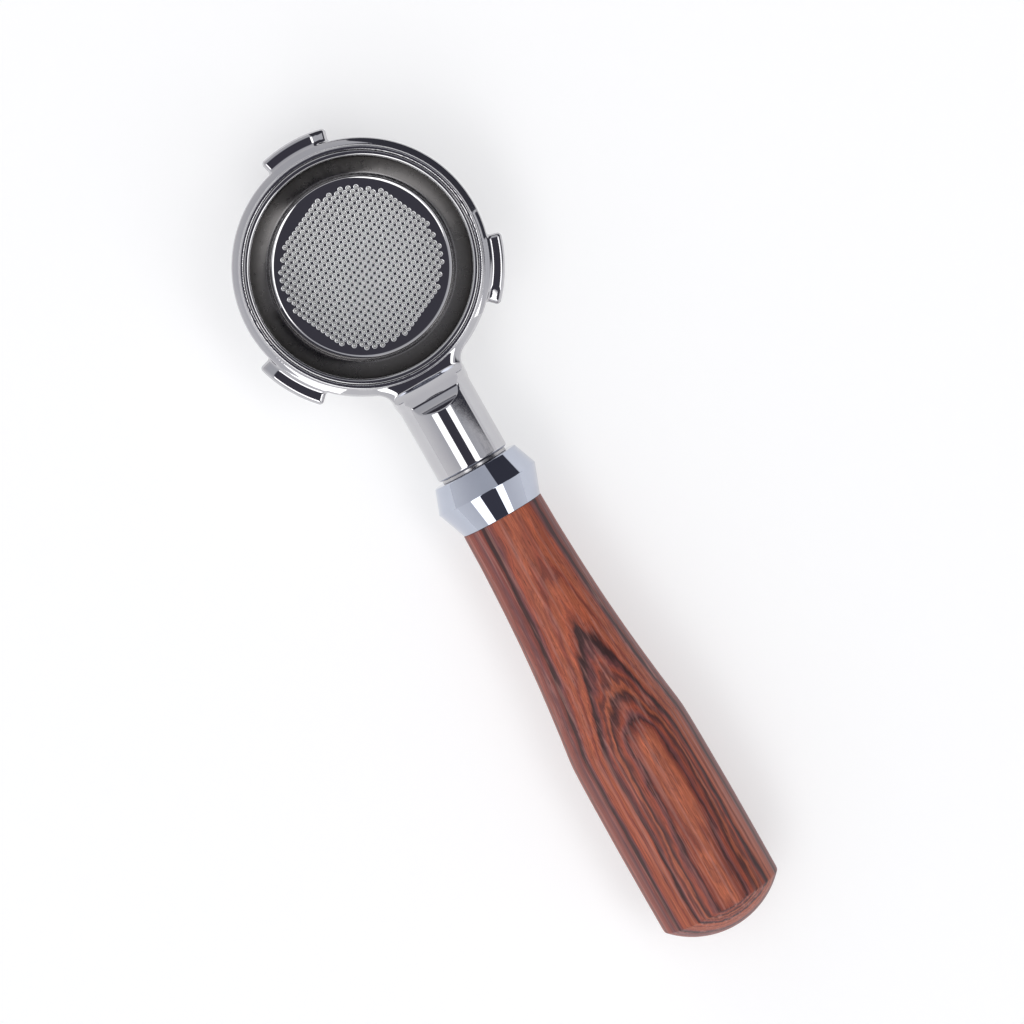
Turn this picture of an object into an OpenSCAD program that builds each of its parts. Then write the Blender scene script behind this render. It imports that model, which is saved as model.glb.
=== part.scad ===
// Bottomless espresso portafilter, 54 mm class, three bayonet lugs, turned wooden handle.
// Frame: +Z is the axis of the bowl, pointing out of its mouth. +X runs along the handle.
// The origin is on the bowl's axis in the plane of the foot rim, so the part stands on z = 0.
// Millimetres throughout.

/* [Bowl ring] */
// Height of the ring from the foot rim to the crest
ring_h = 27.9; // [26.5:0.1:30]
// Radius of the turned band that carries the lugs
band_r = 31.3; // [30.8:0.1:32.5]
// Radius of the bowl wall below the band
wall_r = 30.0; // [29.4:0.1:30.6]
// Radius of the bore the filter basket drops into
bore_r = 27.6; // [27.5:0.05:27.8]
// Radius of the outlet in the foot of the bowl
outlet_r = 25.0; // [24:0.25:26]
// Height of the straight wall of the outlet
outlet_h = 3.0; // [2.5:0.25:3.5]

/* [Bayonet lugs] */
// Radius over the lugs
lug_r = 34.7; // [33.5:0.1:36]
// Angle that one lug spans, in degrees
lug_span = 29.5; // [24:0.5:34]
// Thickness of a lug
lug_t = 5.0; // [4:0.25:6]
// Drop of the lug's top face below the ring's crest
lug_drop = 2.5; // [2:0.1:3]
// Drop of the shoulder around the crest, which is also the top of the web
shoulder_drop = 1.3; // [1:0.1:1.8]
// Length of the lead-in ramp at the leading end, in degrees
ramp_span = 6.5; // [3:0.5:10]
// Depth of the lead-in ramp
ramp_drop = 1.1; // [0.5:0.1:1.5]

/* [Neck] */
// Radius of the neck
neck_r = 9.45; // [8.8:0.05:9.5]
// Distance from the bowl's axis to the end of the neck
neck_end = 55.0; // [53:0.1:57]
// Height of the handle's axis above the foot rim
axis_z = 16.1; // [16.1:0.05:16.4]
// Fillet in plan between the ring and the neck
web_fillet = 4.8; // [3.5:0.1:7]
// Depth of the scoop across the neck, below the shoulder
scoop_d = 3.5; // [2.8:0.1:3.8]
// Distance from the bowl's axis to the deepest line of the scoop
scoop_x = 36.0; // [35.5:0.1:36.5]

/* [Filter basket] */
// Inner radius of the basket's straight upper wall
basket_r = 26.9; // [26.6:0.05:26.95]
// Thickness of the sheet
basket_t = 0.4; // [0.3:0.05:0.45]
// Inner radius where the tapered wall meets the floor fillet
basket_foot_r = 22.9; // [22:0.1:23.5]
// Height of the top of the basket's floor above the foot rim
basket_floor_z = 4.6; // [4.5:0.1:6]
// Pitch of the perforations, on a square grid
hole_pitch = 1.39; // [1.3:0.01:1.6]
// Radius of one perforation
hole_r = 0.28; // [0.15:0.01:0.35]
// Radius of the circle that bounds the perforations
hole_field_r = 19.9; // [18.5:0.05:20.4]
// Rows on each side of the middle row, which cuts the circle's four flats
hole_rows = 13; // [12:1:14]
// Angle of the perforation grid to the handle, in degrees
hole_turn = 25; // [0:1:89]

/* [Basket spring] */
// Radius of the spring wire
wire_r = 0.6; // [0.5:0.05:0.65]
// Height of the spring's groove above the foot rim
spring_z = 22.0; // [21:0.25:24]
// Opening between the spring's ends, in degrees
spring_gap = 26; // [10:1:60]

/* [Ferrule] */
// Radius of the ferrule's front face
ferrule_front_r = 11.1; // [10.6:0.1:11.6]
// Radius of the ferrule's ridge
ferrule_ridge_r = 13.4; // [13:0.05:13.8]
// Radius of the ferrule where it meets the wood
ferrule_back_r = 10.65; // [10.3:0.05:10.7]
// Length of the ferrule
ferrule_l = 13.5; // [12.8:0.1:14]
// Thickness of the spacer between the neck and the ferrule
spacer_t = 0.9; // [0.6:0.1:1.2]
// Radius of the spacer
spacer_r = 8.65; // [8.2:0.05:8.9]

/* [Handle] */
// Radius of the handle's belly
belly_r = 16.0; // [15.5:0.05:16.05]
// Height of the domed end
dome_h = 7.0; // [4:0.1:8]
// Radius of the M10 stud
stud_r = 5.0; // [4:0.5:5]
// Depth of thread held in the neck
thread_l = 10.5; // [9:0.5:12.5]

/* [Hidden] */
$fn = 96;

lug_top = ring_h - lug_drop;
shoulder_z = ring_h - shoulder_drop;
band_low = 19.8;                     // lower edge of the band that carries the lugs
bevel_w = 1.85;                      // width of the bevel around the shoulder
seat_z = ring_h - 0.8;               // ledge that carries the basket's flange
seat_r = 28.3;                       // wall around the flange
rim_z = ring_h + 0.2;                // top of the basket, the highest point of the part
neck_top = axis_z + neck_r;
run_clear = 0.05;                    // radial clearance of the screwed joints, drawn without their threads
ferrule_x = neck_end + spacer_t;     // front face of the ferrule
wood_x = ferrule_x + ferrule_l;      // shoulder of the wood
ridge_x = ferrule_x + 6.1;
tenon_r = 9.0;
tenon_x = ferrule_x + 5.2;           // front end of the wooden tenon
insert_r = 6.5;
insert_l = 30;
edge_x = 178.4;                      // edge between the handle's side and its dome
dome_R = (pow(belly_r * 0.993, 2) + dome_h * dome_h) / (2 * dome_h);

// Half outline of the handle: distance along the axis, and radius as a share of the belly's
handle_line = [
    [wood_x, 0.670], [73.2, 0.675], [78.0, 0.680], [83.0, 0.693], [88.0, 0.706], [93.0, 0.723],
    [98.0, 0.743], [103.0, 0.768], [108.0, 0.796], [113.0, 0.829], [118.0, 0.864], [123.0, 0.902],
    [127.0, 0.935], [129.8, 0.959], [132.2, 0.973], [135.0, 0.980], [140.0, 0.987], [147.0, 0.993],
    [157.0, 1.0], [167.0, 1.0], [177.6, 0.998], [edge_x, 0.993]
];

// Turns a lathe profile given as (along, radius) about the handle's axis
module along_handle() {
    translate([0, 0, axis_z]) rotate([0, 90, 0]) rotate_extrude($fn = 96) children();
}

// A ring-shaped tube about the handle's axis, from x0 to x1
module tube_x(r_out, r_in, x0, x1) {
    translate([x0, 0, axis_z]) rotate([0, 90, 0]) difference() {
        cylinder(r = r_out, h = x1 - x0);
        translate([0, 0, -1]) cylinder(r = r_in, h = x1 - x0 + 2);
    }
}

// Wall of the bowl, open below, with the groove for the spring and the ledge for the flange
module ring_profile() {
    polygon([
        [outlet_r, 0], [wall_r - 1.2, 0], [wall_r - 0.35, 0.35], [wall_r, 1.2],
        [wall_r, band_low - 1.3], [band_r, band_low],
        [band_r, shoulder_z - bevel_w * 0.51 - 0.3], [band_r - 0.2, shoulder_z - bevel_w * 0.51 + 0.1],
        [band_r - bevel_w, shoulder_z], [29.45, ring_h - 0.4], [29.33, ring_h - 0.12], [29.05, ring_h],
        [seat_r + 0.2, ring_h], [seat_r, ring_h - 0.2], [seat_r, seat_z], [bore_r, seat_z],
        [bore_r, spring_z + 0.8], [bore_r + 1.15, spring_z + 0.8],
        [bore_r + 1.15, spring_z - 0.8], [bore_r, spring_z - 0.8],
        [bore_r, outlet_h + (bore_r - outlet_r)], [outlet_r, outlet_h]
    ]);
}

// One bayonet lug centred on the direction a, with a ramp at its leading, clockwise end
module lug(a) {
    difference() {
        rotate([0, 0, a - lug_span / 2]) rotate_extrude(angle = lug_span) polygon([
            [band_r - 1.5, lug_top - lug_t], [lug_r - 0.5, lug_top - lug_t],
            [lug_r, lug_top - lug_t + 0.5], [lug_r, lug_top - 0.5],
            [lug_r - 0.5, lug_top], [band_r - 1.5, lug_top]
        ]);
        rotate([0, 0, a - lug_span / 2 + ramp_span])
            translate([band_r, 0, lug_top])
                rotate([atan(ramp_drop / (lug_r * ramp_span * PI / 180)), 0, 0])
                    translate([-0.01, -8, 0]) cube([8, 8, 4]);
    }
}

// Web that flares the ring into the neck, with a fillet in plan on each side
module web() {
    cy = neck_r + web_fillet;
    cx = sqrt(pow(band_r + web_fillet, 2) - pow(cy, 2));
    translate([0, 0, 8.5]) linear_extrude(shoulder_z - 8.5) difference() {
        polygon([[0, 0], [cx, -cy], [cx, cy]]);
        for (s = [-1, 1]) translate([cx, s * cy]) circle(r = web_fillet);
    }
}

module neck() {
    translate([0, 0, axis_z]) rotate([0, 90, 0]) {
        translate([0, 0, 22]) cylinder(r = neck_r, h = neck_end - 22.6);
        translate([0, 0, neck_end - 0.6]) cylinder(r1 = neck_r, r2 = neck_r - 0.6, h = 0.6);
    }
}

module bowl_body() color([0.82, 0.82, 0.84]) difference() {
    union() {
        difference() {
            union() {
                neck();
                web();
            }
            // scoop across the neck that clears the group's collar
            translate([0, 20, 0]) rotate([90, 0, 0]) linear_extrude(40) polygon([
                [scoop_x - 4.95, shoulder_z], [scoop_x - 3.25, shoulder_z - 1.62], [scoop_x, shoulder_z - scoop_d],
                [scoop_x + 2.2, shoulder_z - scoop_d + 0.8], [scoop_x + 3.4, neck_top],
                [scoop_x + 3.4, ring_h + 4], [scoop_x - 4.95, ring_h + 4]
            ]);
            // the bowl's bore, cut before the ring goes on
            cylinder(r = wall_r - 1, h = 40);
        }
        rotate_extrude() ring_profile();
        for (a = [60, 180, 300]) lug(a);
    }
    // threaded socket for the handle's stud
    translate([neck_end - thread_l - 1.6, 0, axis_z]) rotate([0, 90, 0]) cylinder(r = stud_r + run_clear, h = 20);
}

// Sheet profile of the basket: rolled flange, straight wall, tapered wall, floor fillet, floor
module basket_profile() {
    t = basket_t;
    f = 1.6;
    n = 6;
    slope = atan((basket_r - basket_foot_r) / 13.0);
    fx = basket_foot_r - f * cos(slope);
    fz = basket_floor_z + f;
    polygon(concat(
        // inner face, from the flange down to the floor
        [[28.2, seat_z + 0.05], [28.2, rim_z - 0.3], [28.1, rim_z - 0.08], [27.9, rim_z], [27.5, rim_z],
         [27.15, rim_z - 0.14], [26.97, rim_z - 0.4], [basket_r, rim_z - 0.7], [basket_r, 19.0]],
        [for (i = [0:n]) let (a = -slope - (90 - slope) * i / n) [fx + f * cos(a), fz + f * sin(a)]],
        [[0, basket_floor_z], [0, basket_floor_z - t]],
        // outer face, back up to the flange
        [for (i = [0:n]) let (a = -90 + (90 - slope) * i / n) [fx + (f + t) * cos(a), fz + (f + t) * sin(a)]],
        [[basket_r + t, 19.0 - 0.05], [basket_r + t, seat_z + 0.05]]
    ));
}

module filter_basket() color([0.72, 0.72, 0.73]) difference() {
    rotate_extrude() basket_profile();
    rotate([0, 0, hole_turn])
        for (i = [-hole_rows:hole_rows], j = [-hole_rows:hole_rows])
            if (i * i + j * j <= pow(hole_field_r / hole_pitch, 2))
                translate([i * hole_pitch, j * hole_pitch, basket_floor_z - 1]) cylinder(r = hole_r, h = 2, $fn = 16);
}

// Open ring of round wire that grips the basket
module basket_spring() color([0.6, 0.6, 0.62])
    rotate([0, 0, spring_gap / 2]) rotate_extrude(angle = 360 - spring_gap)
        translate([bore_r + wire_r - 0.2, spring_z]) circle(r = wire_r, $fn = 24);

module neck_spacer() color([0.7, 0.7, 0.72]) tube_x(spacer_r, stud_r + 0.3, neck_end, ferrule_x);

module ferrule() color([0.8, 0.82, 0.85]) difference() {
    along_handle() polygon([
        [stud_r + 0.3, ferrule_x], [ferrule_front_r - 0.35, ferrule_x], [ferrule_front_r, ferrule_x + 0.4],
        [ferrule_ridge_r - 0.12, ridge_x - 0.35], [ferrule_ridge_r, ridge_x], [ferrule_ridge_r - 0.12, ridge_x + 0.35],
        [ferrule_back_r + 0.05, wood_x - 0.1], [ferrule_back_r - 0.05, wood_x],
        [tenon_r + 0.05, wood_x], [tenon_r + 0.05, tenon_x - 0.3], [stud_r + 0.3, tenon_x - 0.3]
    ]);
}

module handle_stud() color([0.55, 0.55, 0.57]) along_handle() polygon([
    [0, neck_end - thread_l], [stud_r - 0.8, neck_end - thread_l], [stud_r, neck_end - thread_l + 0.8],
    [stud_r, tenon_x + insert_l - 1.2], [stud_r - 0.8, tenon_x + insert_l - 0.4], [0, tenon_x + insert_l - 0.4]
]);

// Brass insert, flanged at the front, with three grip grooves
module threaded_insert() color([0.78, 0.62, 0.3]) along_handle() polygon(concat(
    [[stud_r + run_clear, tenon_x - 0.2], [insert_r + 1.6, tenon_x - 0.2], [insert_r + 1.6, tenon_x + 0.8], [insert_r, tenon_x + 0.8]],
    [for (g = [6, 13, 20], p = [[0, 0], [-0.5, 0.5], [-0.5, 2.0], [0, 2.5]]) [insert_r + p[0], tenon_x + g + p[1]]],
    [[insert_r, tenon_x + insert_l - 1], [insert_r - 0.6, tenon_x + insert_l], [stud_r + run_clear, tenon_x + insert_l]]
));

module wood_handle() color([0.55, 0.24, 0.13]) along_handle() polygon(concat(
    // tenon that sits in the ferrule, bored for the insert
    [[insert_r + 0.02, tenon_x + 0.82], [insert_r + 1.65, tenon_x + 0.82], [insert_r + 1.65, tenon_x - 0.1], [tenon_r, tenon_x - 0.1],
     [tenon_r, wood_x + 0.02]],
    [for (p = handle_line) [p[1] * belly_r, p[0] + (p[0] == wood_x ? 0.02 : 0)]],
    // domed end
    [for (i = [1:8]) let (a = asin(belly_r * 0.993 / dome_R) * (1 - i / 8))
        [dome_R * sin(a), edge_x + dome_h - dome_R + dome_R * cos(a)]],
    [[0, tenon_x + insert_l + 2], [insert_r + 0.02, tenon_x + insert_l + 2]]
));

bowl_body();
filter_basket();
basket_spring();
neck_spacer();
ferrule();
handle_stud();
threaded_insert();
wood_handle();
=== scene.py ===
import math

import bmesh
import bpy
import numpy as np
from mathutils import Matrix, Vector
from mathutils.geometry import delaunay_2d_cdt


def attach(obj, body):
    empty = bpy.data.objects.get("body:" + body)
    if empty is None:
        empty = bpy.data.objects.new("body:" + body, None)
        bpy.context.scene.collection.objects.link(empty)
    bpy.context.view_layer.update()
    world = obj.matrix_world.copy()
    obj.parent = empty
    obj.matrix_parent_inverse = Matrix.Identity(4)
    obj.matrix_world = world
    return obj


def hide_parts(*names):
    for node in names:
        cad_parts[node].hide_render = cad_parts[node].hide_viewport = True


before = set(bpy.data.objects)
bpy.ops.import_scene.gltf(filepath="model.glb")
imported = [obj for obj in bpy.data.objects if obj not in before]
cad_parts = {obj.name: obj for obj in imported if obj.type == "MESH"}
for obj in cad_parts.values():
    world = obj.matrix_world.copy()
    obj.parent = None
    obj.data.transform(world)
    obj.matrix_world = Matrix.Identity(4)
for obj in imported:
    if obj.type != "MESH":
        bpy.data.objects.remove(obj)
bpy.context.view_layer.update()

MM = 0.001

# ---------------------------------------------------------------- sizes, in millimetres, as in the CAD
RING_H, SHOULDER, LUG_TOP, LUG_LOW, BAND_LOW = 27.9, 26.6, 25.4, 20.4, 19.8
BAND_R, WALL_R, BORE_R, SEAT_R, SEAT_Z, OUT_R, OUT_H = 31.3, 30.0, 27.6, 28.3, 27.1, 25.0, 3.0
LUG_R, LUG_HALF, RAMP, RAMP_DROP = 34.7, math.radians(14.75), math.radians(6.5), 1.1
AX, NECK_R, NECK_END = 16.1, 9.45, 55.0
WEB_FIL = 4.8
SPRING_Z, WIRE_R = 22.0, 0.6
FER_X, WOOD_X, TENON_X = 55.9, 69.4, 61.1
HOLE_PITCH, HOLE_R, HOLE_TURN, FLOOR_Z, SHEET = 1.39, 0.28, math.radians(25), 4.6, 0.4


# ---------------------------------------------------------------- mesh helpers
def new_mesh(name, verts, faces, normals=None):
    """A smooth-shaded mesh object from arrays in millimetres. faces is a list of (n, 3) and (n, 4) arrays."""
    me = bpy.data.meshes.new(name)
    co = (np.asarray(verts, float) * MM).astype(np.float32)
    faces = [np.asarray(f, np.int32) for f in faces if len(f)]
    loops = np.concatenate([f.ravel() for f in faces])
    totals = np.concatenate([np.full(len(f), f.shape[1], np.int32) for f in faces])
    starts = np.concatenate([[0], np.cumsum(totals)[:-1]]).astype(np.int32)
    me.vertices.add(len(co))
    me.vertices.foreach_set("co", co.ravel())
    me.loops.add(len(loops))
    me.loops.foreach_set("vertex_index", loops)
    me.polygons.add(len(totals))
    me.polygons.foreach_set("loop_start", starts)
    me.update(calc_edges=True)
    me.polygons.foreach_set("use_smooth", np.ones(len(totals), bool))
    me.update()
    if normals is not None:
        me.normals_split_custom_set_from_vertices(np.asarray(normals, np.float32).tolist())
    ob = bpy.data.objects.new(name, me)
    bpy.context.scene.collection.objects.link(ob)
    return ob


def rounded(points, radii, closed=False, n=6):
    """An outline with each corner rounded by its own radius. Ends of an open outline stay."""
    pts = [np.array(p, float) for p in points]
    out = []
    for i, p in enumerate(pts):
        r = radii[i] if hasattr(radii, "__len__") else radii
        if r <= 0 or (not closed and i in (0, len(pts) - 1)):
            out.append(p)
            continue
        u, v = pts[i - 1] - p, pts[(i + 1) % len(pts)] - p
        lu, lv = np.linalg.norm(u), np.linalg.norm(v)
        u, v = u / lu, v / lv
        ang = math.acos(float(np.clip(u @ v, -1, 1)))
        if ang > math.pi - 0.02:
            out.append(p)
            continue
        t = min(r / math.tan(ang / 2), 0.48 * lu, 0.48 * lv)
        re = t * math.tan(ang / 2)
        c = p + (u + v) / np.linalg.norm(u + v) * re / math.sin(ang / 2)
        a, b = p + u * t - c, p + v * t - c
        turn = math.pi - ang
        for k in range(n + 1):
            f = k / n
            w = (math.sin((1 - f) * turn) * a + math.sin(f * turn) * b) / math.sin(turn)
            out.append(c + w)
    return np.array(out)


def lathe(name, profile, about="z", seg=256, closed=False):
    """Turns an outline of (radius, distance along the axis) points. Its normals are weighted by length, so flats stay flat."""
    P = np.asarray(profile, float)
    n = len(P)
    seg_v = np.roll(P, -1, 0) - P
    seg_n = np.stack([seg_v[:, 1], -seg_v[:, 0]], 1)
    nrm = seg_n + np.roll(seg_n, 1, 0)
    if not closed:
        nrm[0], nrm[-1] = seg_n[0], seg_n[-2]
    nrm /= np.maximum(np.linalg.norm(nrm, axis=1, keepdims=True), 1e-12)
    a = np.arange(seg) * 2 * math.pi / seg
    ca, sa = np.cos(a), np.sin(a)
    V, N, idx = [], [], []
    for (r, h), (nr, nh) in zip(P, nrm):
        if r < 1e-6:
            idx.append(np.full(seg, sum(map(len, V))))
            V.append(np.array([[0, 0, h]]))
            N.append(np.array([[0, 0, math.copysign(1, nh)]]))
        else:
            idx.append(sum(map(len, V)) + np.arange(seg))
            V.append(np.stack([r * ca, r * sa, np.full(seg, h)], 1))
            N.append(np.stack([nr * ca, nr * sa, np.full(seg, nh)], 1))
    V, N = np.concatenate(V), np.concatenate(N)
    quads, tris = [], []
    for i in range(n if closed else n - 1):
        A, B = idx[i], idx[(i + 1) % n]
        A1, B1 = np.roll(A, -1), np.roll(B, -1)
        if A[0] == A[1]:
            tris.append(np.stack([A, B1, B], 1))
        elif B[0] == B[1]:
            tris.append(np.stack([A, A1, B], 1))
        else:
            quads.append(np.stack([A, A1, B1, B], 1))
    faces = [np.concatenate(quads)] if quads else []
    if tris:
        faces.append(np.concatenate(tris))
    # the normal of an outline walked with the solid on its left points out; turn the lot over if it doesn't
    area = 0.5 * np.sum(P[:, 0] * np.roll(P[:, 1], -1) - np.roll(P[:, 0], -1) * P[:, 1])
    if area < 0:
        N = -N
        faces = [f[:, ::-1] for f in faces]
    if about == "x":
        V = np.stack([V[:, 2], V[:, 0], V[:, 1] + AX], 1)
        N = np.stack([N[:, 2], N[:, 0], N[:, 1]], 1)
    return new_mesh(name, V, faces, N)


def smin(a, b, k):
    h = np.maximum(k - np.abs(a - b), 0) / k
    return np.minimum(a, b) - h * h * (k * 0.25)


def smax(a, b, k):
    return -smin(-a, -b, k)


def corner(a, b, r):
    """Where both a and b are inside, with the edge between them rounded by r."""
    a, b = a + r, b + r
    return np.minimum(np.maximum(a, b), 0) + np.hypot(np.maximum(a, 0), np.maximum(b, 0)) - r


def surface(name, f, lo, hi, step):
    """The surface where f(x, y, z) is 0, as quads on a grid, each corner moved onto the exact surface with its exact normal."""
    axes = [np.arange(l, h + step, step, dtype=np.float32) for l, h in zip(lo, hi)]
    D = np.empty([len(a) for a in axes], np.float32)
    Y, Z = np.meshgrid(axes[1], axes[2], indexing="ij")
    for s in range(0, len(axes[0]), 16):
        X = axes[0][s:s + 16][:, None, None]
        D[s:s + 16] = f(np.broadcast_to(X, (X.shape[0],) + Y.shape), Y[None], Z[None])
    ins = D < 0
    cnt = np.zeros([n - 1 for n in D.shape], np.uint8)
    offs = [(i, j, k) for i in (0, 1) for j in (0, 1) for k in (0, 1)]
    for i, j, k in offs:
        cnt += ins[i:D.shape[0] - 1 + i, j:D.shape[1] - 1 + j, k:D.shape[2] - 1 + k]
    act = (cnt > 0) & (cnt < 8)
    cells = np.argwhere(act)
    idx = np.full(act.shape, -1, np.int32)
    idx[act] = np.arange(len(cells))
    val = {o: D[cells[:, 0] + o[0], cells[:, 1] + o[1], cells[:, 2] + o[2]] for o in offs}
    pos, w = np.zeros((len(cells), 3)), np.zeros(len(cells))
    for o in offs:
        for d in range(3):
            if o[d]:
                continue
            p = tuple(1 if e == d else o[e] for e in range(3))
            a, b = val[o], val[p]
            m = (a < 0) != (b < 0)
            t = a[m] / (a[m] - b[m])
            q = np.tile(np.array(o, float), (len(t), 1))
            q[:, d] = t
            pos[m] += q
            w[m] += 1
    P = np.array([a[0] for a in axes]) + (cells + pos / w[:, None]) * step

    def grad(P, e=0.01):
        g = np.empty_like(P)
        for d in range(3):
            A, B = P.copy(), P.copy()
            A[:, d] += e
            B[:, d] -= e
            g[:, d] = (f(*A.T) - f(*B.T)) / (2 * e)
        return g

    for _ in range(3):
        g = grad(P)
        move = -(f(*P.T) / np.maximum((g * g).sum(1), 0.2))[:, None] * g
        size = np.linalg.norm(move, axis=1, keepdims=True)
        P = P + move * np.minimum(1, 0.45 * step / np.maximum(size, 1e-9))
    N = grad(P, 0.02)
    N /= np.maximum(np.linalg.norm(N, axis=1, keepdims=True), 1e-9)
    quads = []
    for d in range(3):
        u, v = (d + 1) % 3, (d + 2) % 3
        a = [slice(None)] * 3
        b = [slice(None)] * 3
        a[d], b[d] = slice(0, -1), slice(1, None)
        cross = ins[tuple(a)] != ins[tuple(b)]
        E = np.argwhere(cross)
        E = E[(E[:, u] > 0) & (E[:, v] > 0) & (E[:, u] < D.shape[u] - 1) & (E[:, v] < D.shape[v] - 1)]
        eu, ev = np.eye(3, dtype=int)[u], np.eye(3, dtype=int)[v]
        q = np.stack([idx[tuple((E - s).T)] for s in (0 * eu, eu, eu + ev, ev)], 1)
        first = ins[tuple(E.T)]
        q[~first] = q[~first][:, ::-1]
        quads.append(q)
    return new_mesh(name, P, [np.concatenate(quads)], N)


# ---------------------------------------------------------------- the bowl, one smooth casting
CY = NECK_R + WEB_FIL
CX = math.sqrt((BAND_R + WEB_FIL) ** 2 - CY ** 2)
SB, CB = math.sin(math.radians(27)), math.cos(math.radians(27))


def bowl_shape(x, y, z):
    r = np.hypot(x, y)
    ay = np.abs(y)
    rho = np.hypot(y, z - AX)
    # plan of the band with the web flaring into the neck
    near = (x > 0) & (ay * CX < CY * x)
    plan = np.where(near, np.where(x < CX, WEB_FIL - np.hypot(x - CX, ay - CY), ay - NECK_R), r - BAND_R)
    # band: flat on top, then a wide bevel, then a small round
    bevel = (plan + 1.85) * SB + (z - SHOULDER) * CB
    band = corner(smax(z - SHOULDER, bevel, 0.55), plan, 0.35)
    # the web narrows towards the neck with a wider bevel of its own
    side = (ay + 0.67 * (x - 29.1) - 9.7) / 1.204
    side = side * 0.57 + (z - SHOULDER) * 0.82
    band = smax(band, np.where(x > 24, side, -9.0), 0.7)
    band = corner(band, BAND_LOW - z, 0.5)
    band = smax(band, x - 33.5, 0.9)
    saddle = corner(corner(plan, z - 25.5, 6.0), 8.5 - z, 4.0)
    saddle = smax(np.maximum(saddle, 24.0 - x), x - 35.0, 1.6)
    neck = np.maximum(corner(rho - NECK_R, x - NECK_END, 0.6), 29.0 - x)
    arm = smin(smin(band, saddle, 0.8), neck, 1.6)
    # scoop across the neck, between the band's flat and the top of the neck
    cut = (26.6 - 0.95 * (x - 31.05) - z) * 0.725
    cut = smax(cut, (23.1 - 0.58 * (x - 36.0) - z) * 0.865, 0.35)
    cut = smax(cut, (23.1 + 0.36 * (x - 36.0) - z) * 0.941, 0.22)
    cut = smax(cut, (25.55 + 1.3 * (x - 39.4) - z) * 0.610, 0.45)
    d = smax(arm, -cut, 0.22)
    # wall below the band
    d = smin(d, np.maximum(corner(r - WALL_R, -z, 1.2), z - 21.0), 1.2)
    # lugs
    th = np.arctan2(y, x)
    for c in (60, 180, 300):
        t = np.remainder(th - math.radians(c) + math.pi, 2 * math.pi) - math.pi
        q = corner(r - LUG_R, (np.abs(t) - LUG_HALF) * r, 1.0)
        s = (-t - (LUG_HALF - RAMP)) / RAMP
        top = LUG_TOP - RAMP_DROP * np.clip(smax(s, 0 * s, 0.12), 0, 1.3)
        lug = corner(corner(q, z - top, 1.15), LUG_LOW - z, 0.5)
        d = smin(d, np.maximum(lug, 28.0 - r), 0.9)
    # crest around the basket
    d = smin(d, np.maximum(corner(r - 29.45, z - RING_H, 0.45), 25.0 - z), 0.35)
    # inside: outlet, bore, seat and spring groove
    void = np.minimum(r - OUT_R, np.maximum(r - BORE_R, (r - z - (OUT_R - OUT_H)) * 0.7071))
    void = np.minimum(void, np.maximum(r - SEAT_R, SEAT_Z - z))
    void = np.minimum(void, np.maximum(r - BORE_R - 1.15, np.abs(z - SPRING_Z) - 0.8))
    d = smax(d, -void, 0.25)
    # blind threaded socket with a countersink
    sock = np.maximum(rho - 5.05, 42.9 - x)
    sock = np.minimum(sock, np.maximum((rho - 5.65 + (NECK_END - x)) * 0.7071, 53.0 - x))
    return np.maximum(d, -sock)


bowl = surface("bowl_casting", bowl_shape, (-36, -34.6, -0.6), (56.2, 34.6, 28.8), 0.26)


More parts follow.
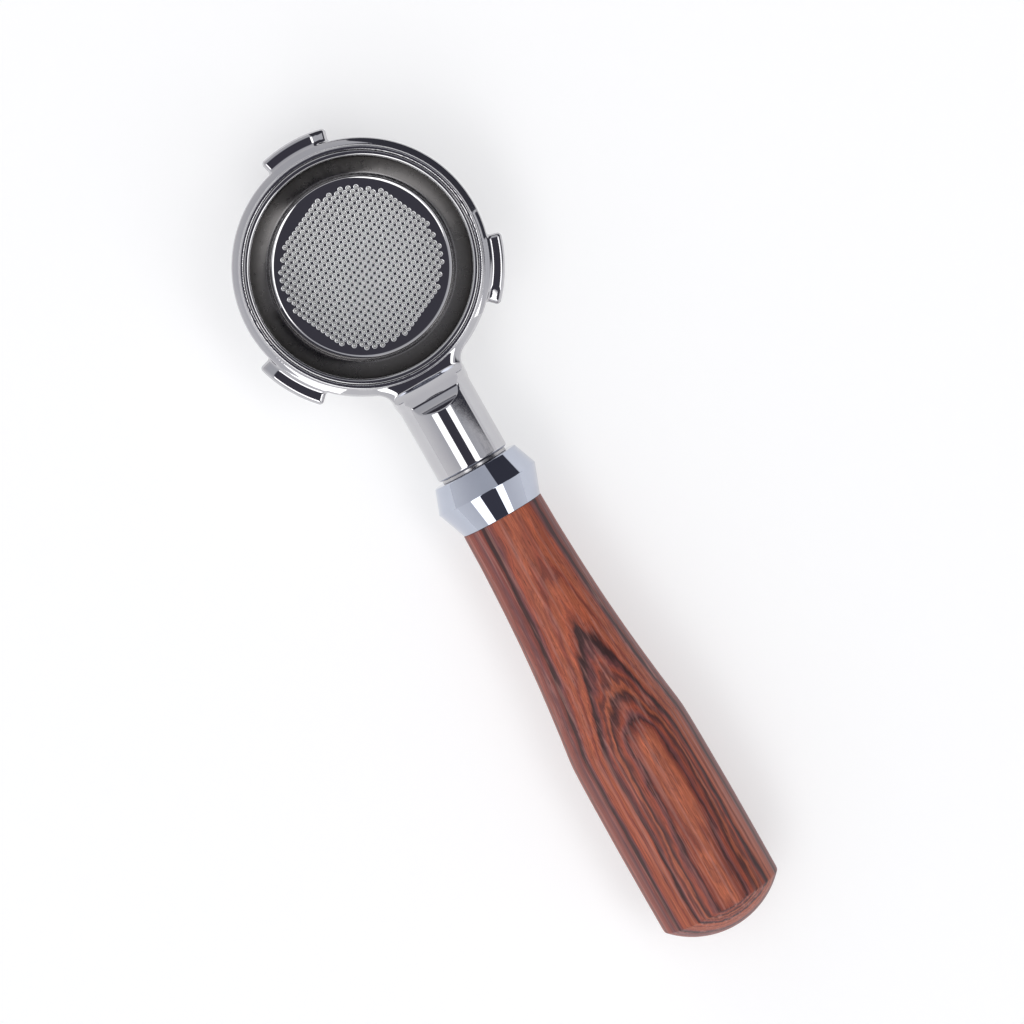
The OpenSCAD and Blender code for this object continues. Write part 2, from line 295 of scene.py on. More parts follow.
# ---------------------------------------------------------------- filter basket
def basket():
    f = 1.6
    slope = math.atan((26.9 - 22.9) / 13.0)
    fx, fz = 22.9 - f * math.cos(slope), FLOOR_Z + f
    edge = 20.9
    arc = lambda R, k=10: [(fx + R * math.cos(a), fz + R * math.sin(a)) for a in np.linspace(-math.pi / 2, -slope, k)]
    inner = [(edge, FLOOR_Z)] + arc(f)
    outer = arc(f + SHEET)[::-1] + [(edge, FLOOR_Z - SHEET)]
    body = [(26.9, 19.0), (26.9, 28.1), (28.2, 28.1), (28.2, SEAT_Z + 0.06), (27.3, SEAT_Z + 0.06), (27.3, 18.94)]
    prof = np.concatenate([inner, rounded([inner[-1]] + body + [outer[0]], [0, 6.0, 0.75, 0.32, 0.1, 0.1, 6.0, 0], n=9)[1:-1], outer])
    wall = lathe("basket_wall", prof, seg=256)

    # perforated floor: one cell for each hole, each a round dimple with a hole through it
    rows = range(-13, 14)
    cells = [(i, j) for i in rows for j in rows if i * i + j * j <= (19.9 / HOLE_PITCH) ** 2]
    half = HOLE_PITCH / 2
    K = 16
    ph = np.arange(K) * 2 * math.pi / K + math.pi / 4
    c, s = np.cos(ph), np.sin(ph)
    sq = half / np.maximum(np.abs(c), np.abs(s))
    rings = [(sq, 0.0, 0.0), (np.full(K, 0.675), 0.0, 0.0)]
    rings += [(np.full(K, r), z, t) for r, z, t in ((0.64, -0.006, 0.10), (0.60, -0.018, 0.16), (0.54, -0.042, 0.20), (0.47, -0.073, 0.26), (0.40, -0.108, 0.42), (0.34, -0.146, 0.62))]
    rings += [(np.full(K, HOLE_R + 0.015), -0.19, 0.85), (np.full(K, HOLE_R), -0.23, 1.0)]
    rings += [(np.full(K, HOLE_R), -SHEET + 0.03, 1.0), (np.full(K, HOLE_R + 0.03), -SHEET, None), (sq, -SHEET, None)]
    V, N = [], []
    for rr, z, tilt in rings:
        V.append(np.stack([rr * c, rr * s, np.full(K, FLOOR_Z + z)], 1))
        if tilt is None:
            N.append(np.tile([0, 0, -1.0], (K, 1)))
        else:
            up = math.sqrt(max(0, 1 - tilt * tilt))
            N.append(np.stack([-tilt * c, -tilt * s, np.full(K, up)], 1))
    V, N = np.concatenate(V), np.concatenate(N)
    F = []
    for k in range(len(rings) - 1):
        a = k * K + np.arange(K)
        b = k * K + (np.arange(K) + 1) % K
        F.append(np.stack([a, b, b + K, a + K], 1))
    F = np.concatenate(F)
    turn = np.array([[math.cos(HOLE_TURN), -math.sin(HOLE_TURN), 0], [math.sin(HOLE_TURN), math.cos(HOLE_TURN), 0], [0, 0, 1]])
    allV = np.concatenate([V + (i * HOLE_PITCH, j * HOLE_PITCH, 0) for i, j in cells])
    allN = np.tile(N, (len(cells), 1))
    allF = np.concatenate([F + k * len(V) for k in range(len(cells))])
    # plain margin between the cells' outline and the wall's first ring, top and underneath
    have = set(cells)
    steps = np.array([0.0, -math.tan(math.pi / 8), -1, math.tan(math.pi / 8), 1])
    along = sorted([0.0, -math.tan(math.pi / 8), math.tan(math.pi / 8), -1.0, 1.0])
    key, pts, edges = {}, [], []

    def at(x, y):
        k = (round(x, 4), round(y, 4))
        if k not in key:
            key[k] = len(pts)
            pts.append((x, y))
        return key[k]

    for i, j in cells:
        for di, dj in ((1, 0), (-1, 0), (0, 1), (0, -1)):
            if (i + di, j + dj) in have:
                continue
            line = [((i + di * 0.5) * HOLE_PITCH - dj * t * half, (j + dj * 0.5) * HOLE_PITCH + di * t * half) for t in along]
            for p, q in zip(line, line[1:]):
                edges.append((at(*p), at(*q)))
    n_in = len(pts)
    pts = [tuple((turn[:2, :2] @ np.array(p))) for p in pts]
    circle = [(edge * math.cos(a), edge * math.sin(a)) for a in np.arange(256) * 2 * math.pi / 256]
    edges += [(n_in + k, n_in + (k + 1) % 256) for k in range(256)]
    cv, ce, cf, ov, oe, of_ = delaunay_2d_cdt([Vector(p) for p in pts + circle], edges, [], 0, 1e-5)
    cv = np.array([tuple(p) for p in cv])
    tri = np.array([f for f in cf])
    mid = cv[tri].mean(1)
    loc = mid @ turn[:2, :2]
    ij = np.rint(loc / HOLE_PITCH).astype(int)
    inside = np.array([(a, b) in have for a, b in ij])
    keep = ~inside & (np.hypot(*mid.T) < edge)
    tri = tri[keep]
    e1, e2 = cv[tri[:, 1]] - cv[tri[:, 0]], cv[tri[:, 2]] - cv[tri[:, 0]]
    flip = (e1[:, 0] * e2[:, 1] - e1[:, 1] * e2[:, 0]) < 0
    tri[flip] = tri[flip][:, ::-1]
    top = np.column_stack([cv, np.full(len(cv), FLOOR_Z)])
    low = np.column_stack([cv, np.full(len(cv), FLOOR_Z - SHEET)])
    base = len(allV)
    Vp = np.concatenate([allV @ turn.T, top, low])
    Np = np.concatenate([allN @ turn.T, np.tile([0, 0, 1.0], (len(top), 1)), np.tile([0, 0, -1.0], (len(low), 1))])
    plate = new_mesh("basket_floor", Vp, [allF, np.concatenate([tri + base, tri[:, ::-1] + base + len(top)])], Np)
    return wall, plate


basket_wall, basket_floor = basket()


def weld(objs, name, dist=0.004):
    """Joins objects into one closed mesh and keeps each vertex's own normal."""
    V, N, quads, tris, base = [], [], [], [], 0
    for o in objs:
        me = o.data
        co = np.empty(len(me.vertices) * 3, np.float32)
        me.vertices.foreach_get("co", co)
        cn = np.empty(len(me.corner_normals) * 3, np.float32)
        me.corner_normals.foreach_get("vector", cn)
        cn = cn.reshape(-1, 3)
        vi = np.empty(len(me.loops), np.int32)
        me.loops.foreach_get("vertex_index", vi)
        vn = np.zeros((len(me.vertices), 3))
        vn[vi] = cn
        ls = np.empty(len(me.polygons), np.int32)
        lt = np.empty(len(me.polygons), np.int32)
        me.polygons.foreach_get("loop_start", ls)
        me.polygons.foreach_get("loop_total", lt)
        V.append(co.reshape(-1, 3) / MM)
        N.append(vn)
        quads.append(vi[ls[lt == 4][:, None] + np.arange(4)] + base)
        tris.append(vi[ls[lt == 3][:, None] + np.arange(3)] + base)
        base += len(me.vertices)
    V, N = np.concatenate(V), np.concatenate(N)
    quads, tris = np.concatenate(quads), np.concatenate(tris)
    key = np.rint(V / dist).astype(np.int64)
    _, first, inv = np.unique(key, axis=0, return_index=True, return_inverse=True)
    inv = inv.ravel()
    # points that round to the same key merge into one, with their normals averaged
    V2, N2 = V[first], np.zeros((len(first), 3))
    np.add.at(N2, inv, N)
    N2 /= np.maximum(np.linalg.norm(N2, axis=1, keepdims=True), 1e-9)
    quads, tris = inv[quads], inv[tris]
    ok = lambda f: f[[len(set(r)) == len(r) for r in f.tolist()]]
    for o in objs:
        bpy.data.meshes.remove(o.data)
    return new_mesh(name, V2, [ok(quads), ok(tris)], N2)


basket_piece = weld([basket_wall, basket_floor], "drawn_basket")


# ---------------------------------------------------------------- basket spring: an open ring of wire with rounded ends
def spring():
    R, gap, K = BORE_R + WIRE_R - 0.2, math.radians(26), 20
    end = math.asin(WIRE_R / R)
    a0, a1 = gap / 2 + end, 2 * math.pi - gap / 2 - end
    st = [(a0 - end * math.cos(t), math.sin(t)) for t in np.linspace(0.08, math.pi / 2, 6)]
    st += [(a, 1.0) for a in np.linspace(a0, a1, 220)[1:-1]]
    st += [(a1 + end * math.cos(t), math.sin(t)) for t in np.linspace(math.pi / 2, 0.08, 6)]
    ph = np.arange(K) * 2 * math.pi / K
    V = [np.stack([(R + WIRE_R * w * np.cos(ph)) * math.cos(a), (R + WIRE_R * w * np.cos(ph)) * math.sin(a), SPRING_Z + WIRE_R * w * np.sin(ph)], 1) for a, w in st]
    n = len(V)
    V = np.concatenate(V)
    F = []
    for k in range(n - 1):
        a = k * K + np.arange(K)
        b = k * K + (np.arange(K) + 1) % K
        F.append(np.stack([a, b, b + K, a + K], 1))
    mid = [[(R) * math.cos(st[0][0]), R * math.sin(st[0][0]), SPRING_Z], [R * math.cos(st[-1][0]), R * math.sin(st[-1][0]), SPRING_Z]]
    V = np.concatenate([V, mid])
    k = np.arange(K)
    t0 = np.stack([np.full(K, len(V) - 2), (k + 1) % K, k], 1)
    t1 = np.stack([np.full(K, len(V) - 1), (n - 1) * K + k, (n - 1) * K + (k + 1) % K], 1)
    ob = new_mesh("wire_spring", V, [np.concatenate(F), np.concatenate([t0, t1])])
    fix_normals(ob)
    return ob


def fix_normals(ob):
    bm = bmesh.new()
    bm.from_mesh(ob.data)
    bmesh.ops.remove_doubles(bm, verts=bm.verts, dist=2e-7)
    bmesh.ops.recalc_face_normals(bm, faces=bm.faces)
    bm.to_mesh(ob.data)
    bm.free()


spring_piece = spring()

# ---------------------------------------------------------------- spacer and ferrule
spacer_piece = lathe("turned_spacer", rounded([(5.3, 55.02), (8.65, 55.02), (8.65, 55.88), (5.3, 55.88)], 0.12, closed=True, n=4), "x", 192, closed=True)
ferrule_piece = lathe("chrome_ferrule", rounded(
    [(5.3, 55.9), (11.1, 55.9), (13.4, 62.0), (10.65, 69.4), (9.05, 69.4), (9.05, 60.8), (5.3, 60.8)],
    [0.3, 0.45, 0.28, 0.12, 0.2, 0.1, 0.2], closed=True, n=6), "x", 320, closed=True)


# ---------------------------------------------------------------- stud with its real thread
def stud():
    x0, x1, pitch, K = 44.5, 90.7, 1.5, 72
    form = [(0.0, 4.16), (0.10, 4.10), (0.20, 4.16), (0.52, 4.88), (0.60, 4.97), (0.68, 4.97), (0.76, 4.88)]
    rows = []
    for k in range(-2, int((x1 - x0) / pitch) + 3):
        rows += [(k + f, r) for f, r in form]
    ph = np.arange(K + 1) * 2 * math.pi / K
    V = []
    for t, r in rows:
        x = x0 + pitch * (t + ph / (2 * math.pi))
        rr = np.minimum(r, np.minimum(4.2 + (x - x0) * 1.0, 4.2 + (x1 - x) * 1.0))
        x = np.clip(x, x0, x1)
        rr = np.where((x <= x0) | (x >= x1), 4.05, np.maximum(rr, 4.05))
        V.append(np.stack([x, rr * np.sin(ph), AX + rr * np.cos(ph)], 1))
    n = len(V)
    V = np.concatenate(V)
    W = K + 1
    F = []
    for k in range(n - 1):
        a = k * W + np.arange(K)
        F.append(np.stack([a, a + 1, a + 1 + W, a + W], 1))
    F = np.concatenate(F)
    ob = new_mesh("threaded_stud", V, [F])
    bm = bmesh.new()
    bm.from_mesh(ob.data)
    bmesh.ops.remove_doubles(bm, verts=bm.verts, dist=2e-6)
    bmesh.ops.dissolve_degenerate(bm, dist=1e-6, edges=bm.edges)
    rim = [e for e in bm.edges if e.is_boundary]
    bmesh.ops.holes_fill(bm, edges=rim, sides=0)
    bmesh.ops.recalc_face_normals(bm, faces=bm.faces)
    bm.to_mesh(ob.data)
    bm.free()
    for p in ob.data.polygons:
        p.use_smooth = len(p.vertices) <= 4
    return ob


stud_piece = stud()

# ---------------------------------------------------------------- turned wooden handle
HANDLE = [(69.42, 10.72), (73.2, 10.80), (78.0, 10.88), (83.0, 11.08), (88.0, 11.30), (93.0, 11.57), (98.0, 11.89), (103.0, 12.29),
          (108.0, 12.74), (113.0, 13.26), (118.0, 13.83), (123.0, 14.43), (127.0, 14.96), (129.8, 15.34), (132.2, 15.57),
          (135.0, 15.68), (140.0, 15.80), (147.0, 15.90), (157.0, 16.0), (167.0, 16.0), (177.6, 15.96)]


def smooth_line(pts, n):
    """A monotone cubic through the points, sampled evenly along x."""
    x, y = np.array(pts).T
    h, d = np.diff(x), np.diff(y) / np.diff(x)
    m = np.concatenate([[d[0]], np.where(d[:-1] * d[1:] > 0, 2 * d[:-1] * d[1:] / (d[:-1] + d[1:] + 1e-12), 0), [d[-1]]])
    # a light average keeps the slope continuous to the eye
    m[1:-1] = 0.25 * m[:-2] + 0.5 * m[1:-1] + 0.25 * m[2:]
    X = np.linspace(x[0], x[-1], n)
    i = np.clip(np.searchsorted(x, X) - 1, 0, len(h) - 1)
    t = (X - x[i]) / h[i]
    Y = (2 * t**3 - 3 * t**2 + 1) * y[i] + (t**3 - 2 * t**2 + t) * h[i] * m[i] + (-2 * t**3 + 3 * t**2) * y[i + 1] + (t**3 - t**2) * h[i] * m[i + 1]
    return np.stack([np.minimum(Y, 16.0), X], 1)


def handle():
    side = smooth_line(HANDLE, 260)
    er, ex, dh = 15.89, 178.4, 7.0
    R = (er * er + dh * dh) / (2 * dh)
    top = math.asin(er / R)
    dome = [(R * math.sin(a), ex + dh - R + R * math.cos(a)) for a in np.linspace(top, 0, 40)]
    dome[-1] = (0.0, ex + dh)
    rim = rounded([side[-1], (er, ex), dome[3]], [0, 0.75, 0], n=8)
    outer = np.concatenate([side[:-1], rim, dome[4:]])
    inner = [(0.0, TENON_X + 32.0), (6.52, TENON_X + 32.0), (6.52, TENON_X + 0.82), (8.15, TENON_X + 0.82), (8.15, TENON_X - 0.1),
             (9.0, TENON_X - 0.1), (9.0, 69.42)]
    inner = rounded(inner + [tuple(side[0])], [0, 0.3, 0.1, 0.05, 0.1, 0.3, 0.05, 0], n=3)
    prof = np.concatenate([inner[:-1], [(10.60, 69.42), (10.69, 69.45), (10.72, 69.52)], outer[1:]])
    return lathe("turned_handle", prof, "x", 288)


handle_piece = handle()


# ---------------------------------------------------------------- materials
class Nodes:
    """A short way to write a procedural material."""

    def __init__(self, name, world=False):
        self.m = (bpy.data.worlds if world else bpy.data.materials).new(name)
        self.m.use_nodes = True
        self.t = self.m.node_tree
        self.t.nodes.clear()
        self.out = self.t.nodes.new("ShaderNodeOutputWorld" if world else "ShaderNodeOutputMaterial")
        self.bsdf = self.t.nodes.new("ShaderNodeBackground" if world else "ShaderNodeBsdfPrincipled")
        self.t.links.new(self.bsdf.outputs[0], self.out.inputs[0])

    def node(self, kind, **inputs):
        n = self.t.nodes.new(kind)
        for k, v in inputs.items():
            if k.startswith("_"):
                setattr(n, k[1:], v)
        for k, v in inputs.items():
            if not k.startswith("_"):
                self.put(n, k, v)
        return n

    def put(self, n, key, v):
        sock = n.inputs[int(key[1:])] if key[0] == "i" and key[1:].isdigit() else n.inputs[key.replace("__", " ")]
        if isinstance(v, bpy.types.NodeSocket):
            self.t.links.new(v, sock)
        elif isinstance(v, bpy.types.Node):
            self.t.links.new(v.outputs[0], sock)
        else:
            sock.default_value = v

    def set(self, **inputs):
        for k, v in inputs.items():
            self.put(self.bsdf, k, v)

    def coords(self):
        return self.node("ShaderNodeTexCoord").outputs["Object"]

    def mapped(self, vec, scale, loc=(0, 0, 0), rot=(0, 0, 0)):
        return self.node("ShaderNodeMapping", Vector=vec, Scale=scale, Location=loc, Rotation=rot).outputs[0]

    def noise(self, vec, scale=1.0, detail=2.0, rough=0.5, dist=0.0, dims="3D", w=None):
        n = self.node("ShaderNodeTexNoise", _noise_dimensions=dims)
        if dims != "1D":
            self.put(n, "Vector", vec)
        if w is not None:
            self.put(n, "W", w)
        self.put(n, "Scale", scale)
        self.put(n, "Detail", detail)
        self.put(n, "Roughness", rough)
        self.put(n, "Distortion", dist)
        return n.outputs["Fac"]

    def math(self, op, a, b=None, c=None, clamp=False):
        n = self.node("ShaderNodeMath", _operation=op, _use_clamp=clamp, i0=a)
        if b is not None:
            self.put(n, "i1", b)
        if c is not None:
            self.put(n, "i2", c)
        return n.outputs[0]

    def remap(self, v, lo, hi, a, b, clamp=True, kind="LINEAR"):
        return self.node("ShaderNodeMapRange", _clamp=clamp, _interpolation_type=kind, i0=v, i1=lo, i2=hi, i3=a, i4=b).outputs[0]

    def ramp(self, v, stops, kind="LINEAR"):
        n = self.node("ShaderNodeValToRGB", Fac=v)
        cr = n.color_ramp
        cr.interpolation = kind
        while len(cr.elements) > 1:
            cr.elements.remove(cr.elements[0])
        cr.elements[0].position = stops[0][0]
        cr.elements[0].color = (*stops[0][1], 1)
        for p, c in stops[1:]:
            e = cr.elements.new(p)
            e.color = (*c, 1)
        return n.outputs[0]

    def mix(self, f, a, b, mode="MIX"):
        n = self.node("ShaderNodeMix", _data_type="RGBA", _blend_type=mode)
        for i, v in ((0, f), (6, a), (7, b)):
            if isinstance(v, (bpy.types.NodeSocket,)):
                self.t.links.new(v, n.inputs[i])
            else:
                n.inputs[i].default_value = v if not hasattr(v, "__len__") else (*v, 1)[:4]
        return n.outputs[2]

    def bump(self, height, strength, distance):
        n = self.node("ShaderNodeBump", Height=height, Strength=strength, Distance=distance)
        self.t.links.new(n.outputs[0], self.bsdf.inputs["Normal"])
        return n


def srgb(r, g, b):
    """An sRGB colour of 0 to 255 as linear numbers."""
    return tuple((v / 255 / 12.92 if v <= 10 else ((v / 255 + 0.055) / 1.055) ** 2.4) for v in (r, g, b))


def metal(name, tint, tint2, rough, spread, scratch=0.03, stretch=(1, 1, 1), grain=900.0):
    """Polished or turned metal: uneven gloss, faint scratches along the way it was worked, and dulled patches."""
    n = Nodes(name)
    p = n.coords()
    cloud = n.noise(p, 90.0, 4.0, 0.6)
    lines = n.noise(n.mapped(p, stretch), grain, 3.0, 0.55)
    fine = n.noise(n.mapped(p, (stretch[0] * 1.7, stretch[1] * 1.3, stretch[2] * 1.5), (0.31, 0.17, 0.05)), grain * 3.1, 2.0, 0.5)
    wear = n.remap(n.math("MULTIPLY_ADD", lines, 0.5, n.math("MULTIPLY", cloud, 0.5)), 0.32, 0.70, rough, rough + spread)
    n.set(Base__Color=n.mix(n.remap(cloud, 0.35, 0.65, 0, 1), tint, tint2), Metallic=1.0, Roughness=wear)
    n.bump(n.math("MULTIPLY_ADD", fine, 0.5, lines), scratch, 0.00004)
    return n.m


steel = metal("polished_casting", (0.565, 0.56, 0.575), (0.535, 0.53, 0.55), 0.03, 0.03, 0.02)
wire = metal("spring_wire", (0.50, 0.50, 0.51), (0.42, 0.42, 0.44), 0.22, 0.18, 0.15, (0.3, 0.3, 1), 1500.0)
turned = metal("turned_steel", (0.50, 0.49, 0.50), (0.44, 0.43, 0.44), 0.16, 0.12, 0.10, (6, 1, 1), 500.0)
plate = metal("bright_plate", (0.52, 0.55, 0.63), (0.49, 0.52, 0.60), 0.012, 0.02, 0.012)
zinc = metal("zinc_thread", (0.55, 0.56, 0.57), (0.44, 0.45, 0.47), 0.24, 0.2, 0.2, (2, 1, 1), 900.0)
brass = metal("turned_brass", (0.78, 0.57, 0.25), (0.66, 0.46, 0.19), 0.2, 0.15, 0.15, (5, 1, 1), 600.0)


def drawn_sheet():
    """Stainless sheet: a mirror floor with satin stamped holes, their dimples given a near-white colour that is partly
    a painted highlight and their throats painted shade, and a wall of painted shade, dark and darker still towards the
    rim.
    """
    n = Nodes("drawn_sheet")
    p = n.coords()
    z = n.node("ShaderNodeSeparateXYZ", Vector=p).outputs["Z"]
    wall = n.remap(z, 0.0056, 0.0080, 0.0, 1.0, kind="SMOOTHSTEP")
    lip = n.remap(z, 0.0264, 0.0272, 0.0, 1.0, kind="SMOOTHSTEP")
    wall = n.math("SUBTRACT", wall, lip, clamp=True)
    r = n.node("ShaderNodeVectorMath", _operation="LENGTH", i0=n.mapped(p, (1, 1, 0))).outputs["Value"]
    outside = n.remap(n.math("SUBTRACT", r, n.remap(z, 0.006, 0.019, 0.0229, 0.0269)), 0.00018, 0.00026, 0.0, 1.0)
    outside = n.math("MULTIPLY", outside, wall)
    wall = n.math("SUBTRACT", wall, outside, clamp=True)
    punched = n.remap(z, 0.004596, 0.004599, 1.0, 0.0)
    streak = n.noise(n.mapped(p, (1, 1, 0.05)), 700.0, 2.0, 0.5)
    speck = n.noise(p, 7000.0, 1.0, 0.5)
    # painted shade: the wall's colour is set dark, with random light streaks of its own, and is darkened further from
    # the floor up to the rim
    rim_shade = n.remap(z, 0.0075, 0.0235, 1.0, 0.52)
    wall_streaks_and_shade = n.mix(n.remap(streak, 0.35, 0.65, 0, 1), (0.165, 0.157, 0.153), (0.18, 0.171, 0.167))
    wall_streaks_and_shade = n.mix(1.0, wall_streaks_and_shade, n.node("ShaderNodeCombineColor", i0=rim_shade, i1=rim_shade, i2=rim_shade).outputs[0], "MULTIPLY")
    # stamped dimples: a near-white, partly diffuse colour, partly a satin finish from the punch and partly a painted
    # highlight that makes the rings read bright
    bright = n.mix(punched, (0.58, 0.575, 0.585), (0.98, 0.98, 0.99))
    # painted shade: the steep throat round each hole is given a dark colour
    throat_shade = n.remap(z, 0.004500, 0.004526, 1.0, 0.0)
    bright = n.mix(throat_shade, bright, (0.24, 0.24, 0.245))
    bright = n.mix(outside, bright, (0.50, 0.495, 0.50))
    n.set(Base__Color=n.mix(wall, bright, wall_streaks_and_shade), Metallic=n.math("SUBTRACT", 1.0, n.math("MULTIPLY", n.math("MULTIPLY", punched, n.math("SUBTRACT", 1.0, wall)), 0.45)))
    shiny = n.math("MULTIPLY_ADD", outside, 0.2, n.math("MULTIPLY_ADD", punched, 0.24, 0.04))
    satin = n.remap(streak, 0.35, 0.65, 0.27, 0.30)
    # painted shade: the wall's reflection tint falls from light near the floor to dark near the rim, so its reflections
    # darken towards the rim
    edge = n.remap(z, 0.0065, 0.0225, 0.74, 0.24)
    n.set(Specular__Tint=n.mix(wall, (1, 1, 1), n.node("ShaderNodeCombineColor", i0=edge, i1=edge, i2=edge).outputs[0]))
    n.set(Roughness=n.math("ADD", n.math("MULTIPLY", satin, wall), n.math("MULTIPLY", shiny, n.math("SUBTRACT", 1.0, wall))))
    n.bump(n.math("MULTIPLY", speck, n.math("SUBTRACT", 1.0, wall)), 0.05, 0.00002)
    return n.m


drawn = drawn_sheet()


def rosewood():
    """Flat-sawn rosewood: growth layers in slightly tilted planes through the turned handle, so they break out as nested arches."""
    n = Nodes("lacquered_rosewood")
    p = n.coords()
    mm = n.node("ShaderNodeVectorMath", _operation="MULTIPLY_ADD", i0=p, i1=(1000, 1000, 1000), i2=(0, 0, -AX)).outputs[0]
    slow = n.noise(n.mapped(mm, (0.035, 0.10, 0.10)), 1.0, 1.0, 0.4)
    mid = n.noise(n.mapped(mm, (0.12, 0.62, 0.62), (3.1, 7.7, 1.3)), 1.0, 2.0, 0.5)
    ripple = n.noise(n.mapped(mm, (0.55, 2.6, 2.6), (9.2, 1.4, 4.6)), 1.0, 2.0, 0.5)
    sep = n.node("ShaderNodeSeparateXYZ", Vector=mm)
    tilt = math.radians(10)
    h = n.math("MULTIPLY_ADD", sep.outputs["Z"], math.cos(tilt), n.math("MULTIPLY", sep.outputs["Y"], math.sin(tilt)))
    h = n.math("MULTIPLY_ADD", n.math("SUBTRACT", slow, 0.5), 1.6, h)
    h = n.math("MULTIPLY_ADD", n.math("SUBTRACT", mid, 0.5), 1.15, h)
    h = n.math("MULTIPLY_ADD", n.math("SUBTRACT", ripple, 0.5), 0.22, h)
    dark, brown, red, orange = srgb(34, 21, 23), srgb(82, 45, 42), srgb(120, 55, 42), srgb(156, 86, 58)
    mauve, warm = srgb(95, 58, 60), srgb(138, 68, 47)
    bands = [(-16.0, brown), (-13.4, red), (-12.8, dark), (-12.3, red), (-9.6, orange), (-8.2, brown), (-7.7, dark), (-7.1, warm), (-4.6, red), (-3.9, brown),
             (-3.4, warm), (-1.2, orange), (0.2, red), (1.4, brown), (1.9, warm), (4.6, red), (6.1, mauve), (7.2, red), (7.75, dark), (8.25, dark), (8.7, mauve),
             (9.3, warm), (10.6, orange), (11.15, red), (11.6, orange), (12.2, warm), (12.45, dark), (12.7, dark), (12.95, mauve), (13.3, warm), (13.7, brown), (14.0, orange), (14.25, dark), (14.5, brown), (14.8, warm), (15.15, mauve), (15.35, dark), (15.5, red), (15.9, orange)]
    pos = n.remap(h, -16.5, 16.5, 0.0, 1.0)
    low, high = (n.ramp(pos, [((b + 16.5) / 33.0, c) for b, c in bands if keep(b)]) for keep in (lambda b: b <= 4.6, lambda b: b >= 4.6))
    col = n.mix(n.math("GREATER_THAN", h, 4.6), low, high)
    # fine fibres and narrow late-growth lines that follow the layers
    layer = n.noise(None, 1.0, 4.0, 0.75, dims="1D", w=n.math("MULTIPLY", h, 1.9))
    layer = n.remap(layer, 0.36, 0.66, 0.0, 1.0)
    col = n.mix(n.math("MULTIPLY", layer, 0.55), col, srgb(72, 38, 36), "MIX")
    fibre = n.noise(n.mapped(mm, (0.05, 2.4, 2.4), (5, 2, 8)), 1.0, 4.0, 0.7)
    col = n.mix(0.55, col, n.ramp(fibre, [(0.25, (0.30, 0.27, 0.28)), (0.5, (1.0, 1.0, 1.0)), (0.75, (2.1, 2.0, 2.0))]), "MULTIPLY")
    # painted reflection: random patches are lifted to a light mauve-grey, standing in for the lacquer's sheen
    painted_sheen = n.remap(n.noise(n.mapped(mm, (0.02, 0.9, 0.9), (4, 1, 9)), 1.0, 2.0, 0.6), 0.52, 0.70, 0.0, 0.42)
    col = n.mix(painted_sheen, n.mix(1.0, col, (1.3, 1.2, 1.2), "MULTIPLY"), srgb(180, 126, 116))
    pores = n.noise(n.mapped(mm, (0.16, 5.2, 5.2), (1, 6, 3)), 1.0, 1.0, 0.5)
    pore = n.remap(pores, 0.66, 0.74, 0.0, 1.0)
    col = n.mix(n.math("MULTIPLY", pore, 0.75), col, srgb(48, 28, 26))
    n.set(Base__Color=col, Roughness=n.remap(n.math("MULTIPLY_ADD", fibre, 0.5, n.math("MULTIPLY", pore, 0.4)), 0.1, 0.7, 0.42, 0.58))
    n.set(IOR=1.45)
    n.bump(n.math("MULTIPLY_ADD", pore, -1.0, n.math("MULTIPLY", fibre, 0.35)), 0.25, 0.00006)
    return n.m


wood = rosewood()


# ---------------------------------------------------------------- put the pieces in the frame
def finish_piece(ob, body, node, material):
    ob.data.materials.clear()
    ob.data.materials.append(material)
    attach(ob, body)
    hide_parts(node)


finish_piece(bowl, "bowl", "bowl_body", steel)
finish_piece(spring_piece, "bowl", "basket_spring", wire)
finish_piece(basket_piece, "basket", "filter_basket", drawn)
finish_piece(spacer_piece, "collar", "neck_spacer", turned)
finish_piece(ferrule_piece, "collar", "ferrule", plate)
finish_piece(stud_piece, "handle", "handle_stud", zinc)
finish_piece(handle_piece, "handle", "wood_handle", wood)
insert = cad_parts["threaded_insert"]
insert.data.materials.clear()
insert.data.materials.append(brass)


# ---------------------------------------------------------------- floor, light and camera
def stage():
    bm = bmesh.new()
    bmesh.ops.create_grid(bm, x_segments=24, y_segments=24, size=1.6)
    me = bpy.data.meshes.new("floor")
    bm.to_mesh(me)
    bm.free()
    floor = bpy.data.objects.new("floor", me)
    floor.location = (0.07, 0, -0.0001)
    bpy.context.scene.collection.objects.link(floor)
    n = Nodes("pale_floor")
    n.set(Base__Color=(0.56, 0.56, 0.565, 1), Roughness=0.9, Emission__Color=(1, 1, 1, 1), Emission__Strength=0.44)
    me.materials.append(n.m)


stage()


def soft(name, loc, size, watts, colour=(1, 1, 1)):
    """A broad soft light for the matt surfaces. What the polished ones mirror is the studio around them."""
    d = bpy.data.lights.new(name, "AREA")
    d.shape = "DISK"
    d.size, d.energy, d.color = size, watts, colour
    o = bpy.data.objects.new(name, d)
    o.location = loc
    o.rotation_euler = (Vector(loc) - Vector((0.07, 0, 0))).to_track_quat("Z", "Y").to_euler()
    o.visible_glossy = False
    bpy.context.scene.collection.objects.link(o)


soft("overhead", (0.2, -0.15, 2.0), 2.6, 15)


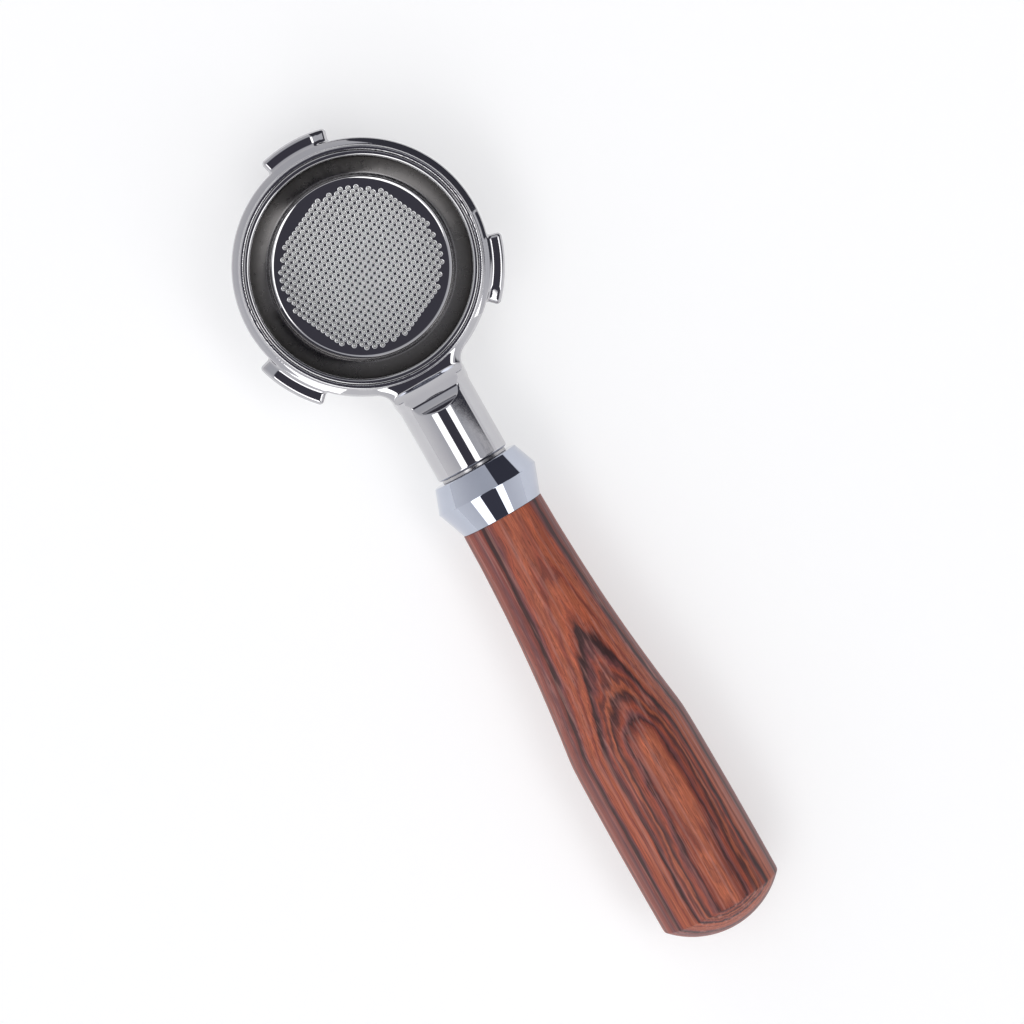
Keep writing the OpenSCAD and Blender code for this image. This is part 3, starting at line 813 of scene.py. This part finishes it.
def studio():
    """The studio that the metal mirrors: a dark gap overhead between two long softboxes, grey walls, and one dark flag."""
    n = Nodes("studio", world=True)
    sep = n.node("ShaderNodeSeparateXYZ", Vector=n.node("ShaderNodeTexCoord").outputs["Generated"])
    x, y, z = (sep.outputs[k] for k in "XYZ")
    zc = n.math("MAXIMUM", z, 0.02)
    u, v = n.math("DIVIDE", x, zc), n.math("DIVIDE", y, zc)

    def line(c, k):
        return n.math("SUBTRACT", v, n.math("MULTIPLY_ADD", u, k, c))

    def above(val, edge=0.012):
        return n.remap(val, -edge, edge, 0.0, 1.0, kind="SMOOTHSTEP")

    def both(*m):
        out = m[0]
        for k in m[1:]:
            out = n.math("MULTIPLY", out, k)
        return out

    def no(m):
        return n.math("SUBTRACT", 1.0, m)

    a_low, a_high = above(line(0.187, 0.165)), above(line(0.499, 0.274))
    b_low, b_high = above(line(-0.7035, -0.413)), above(line(-0.299, -0.169))
    reach = both(above(n.math("ADD", u, 0.06), 0.03), no(above(n.math("SUBTRACT", u, 1.45), 0.1)))
    boxes = both(n.math("ADD", both(a_low, no(a_high)), both(b_low, no(b_high))), reach)
    gap = both(b_high, no(a_low), above(n.math("ADD", u, 0.42), 0.14), no(above(n.math("SUBTRACT", u, 1.4), 0.12)))
    # dark flag low on the +Y side towards -X
    flag = both(above(n.math("SUBTRACT", y, n.math("MULTIPLY_ADD", z, 0.22, 0.2)), 0.01),
                above(n.math("SUBTRACT", z, n.math("MULTIPLY_ADD", x, 0.3, 0.16)), 0.01),
                no(above(n.math("SUBTRACT", z, n.remap(x, 0.0365, 0.046, 0.86, 0.18)), 0.01)))
    # a second one beside it, seen only in the ring's bevel
    flag2 = both(above(n.math("SUBTRACT", x, 0.053), 0.002), no(above(n.math("SUBTRACT", x, 0.43), 0.03)), above(n.math("SUBTRACT", y, 0.55), 0.02),
                 above(n.math("SUBTRACT", z, n.math("MULTIPLY_ADD", x, 0.3, 0.16)), 0.01), no(above(n.math("SUBTRACT", z, 0.66), 0.03)))
    flag = n.math("MAXIMUM", flag, flag2)
    walls = n.ramp(z, [(0.0, (0.92, 0.92, 0.94)), (0.25, (0.86, 0.86, 0.88)), (0.55, (0.76, 0.76, 0.79)), (0.85, (0.62, 0.63, 0.67)), (1.0, (0.5, 0.51, 0.55))])
    side = n.remap(x, -0.9, -0.2, 0.80, 1.0)
    col = n.mix(1.0, walls, n.node("ShaderNodeCombineColor", i0=side, i1=side, i2=side).outputs[0], "MULTIPLY")
    col = n.mix(gap, col, (0.066, 0.064, 0.083))
    col = n.mix(flag, col, (0.055, 0.055, 0.07))
    col = n.mix(boxes, col, (2.5, 2.5, 2.5))
    n.put(n.bsdf, "Color", col)
    bpy.context.scene.world = n.m


studio()

bpy.context.scene.view_settings.view_transform = "Standard"

cam_data = bpy.data.cameras.new("camera")
cam = bpy.data.objects.new("camera", cam_data)
bpy.context.scene.collection.objects.link(cam)
cam_data.lens = 160.43
cam_data.sensor_width = 36
cam_data.clip_start, cam_data.clip_end = 0.05, 20
eye, target = Vector((0, 0, 1.128)), Vector((0.0710, 0.0024919, 0))
fwd = (target - eye).normalized()
right = fwd.cross(Vector((-0.869, 0.4947, 0))).normalized()
up = right.cross(fwd)
roll = 0.00197095
r2 = right * math.cos(roll) + up * math.sin(roll)
u2 = up * math.cos(roll) - right * math.sin(roll)
m = Matrix((r2, u2, -fwd)).transposed().to_4x4()
m.translation = eye
cam.matrix_world = m
bpy.context.scene.camera = cam

bpy.context.view_layer.update()
